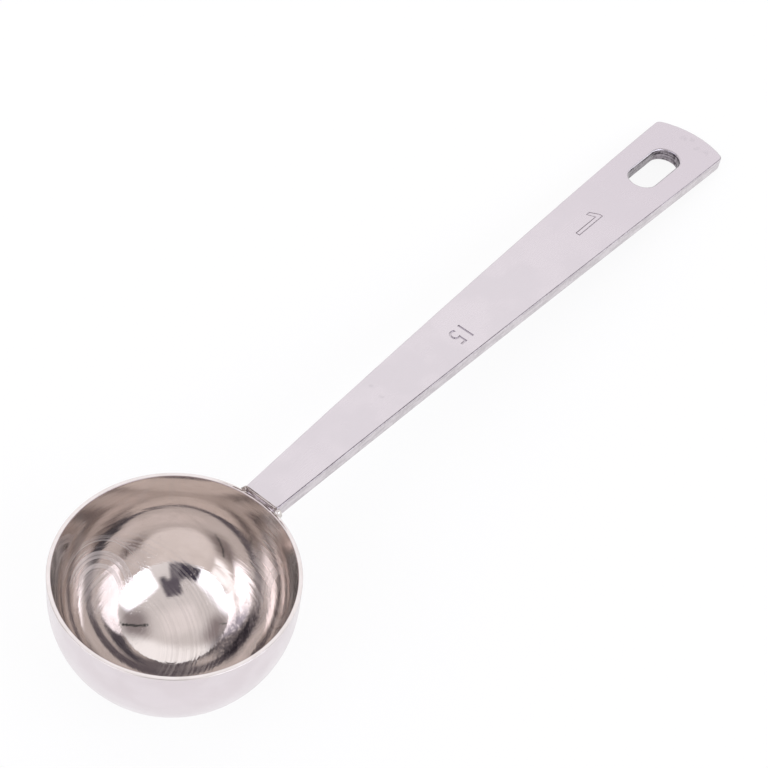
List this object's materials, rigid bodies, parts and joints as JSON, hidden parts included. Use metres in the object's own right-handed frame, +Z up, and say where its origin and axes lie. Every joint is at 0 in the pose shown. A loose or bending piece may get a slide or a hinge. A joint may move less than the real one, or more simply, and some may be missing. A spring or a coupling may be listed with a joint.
{
  "type": "measuring spoon",
  "caption": "Round-bowled stainless measuring scoop with a flat flared handle welded to its rim and a hanging slot near the tip.",
  "frame": {"origin": "on the surface that the spoon lies on, under the middle of the whole spoon's box", "axes": "+X runs from the bowl to the handle's tip, +Z is up from the surface, +Y is to the left of someone who looks from the bowl to the tip. The mouth's normal leans 9.04 degrees from +Z towards +X, because the spoon rests on its round bottom and its tip."},
  "size_m": [0.1553, 0.036, 0.0251],
  "materials": {
    "polished_steel": "bright polish inside with fine circular polishing marks, softly polished outside",
    "satin_steel": "soft satin polish with faint lengthwise grain",
    "weld_metal": "bright, slightly discoloured weld metal"
  },
  "bodies": {
    "root": {"bowl": "polished_steel", "handle": "satin_steel", "weld_bead": "weld_metal", "weld_nuggets": "weld_metal"}
  },
  "joints": []
}
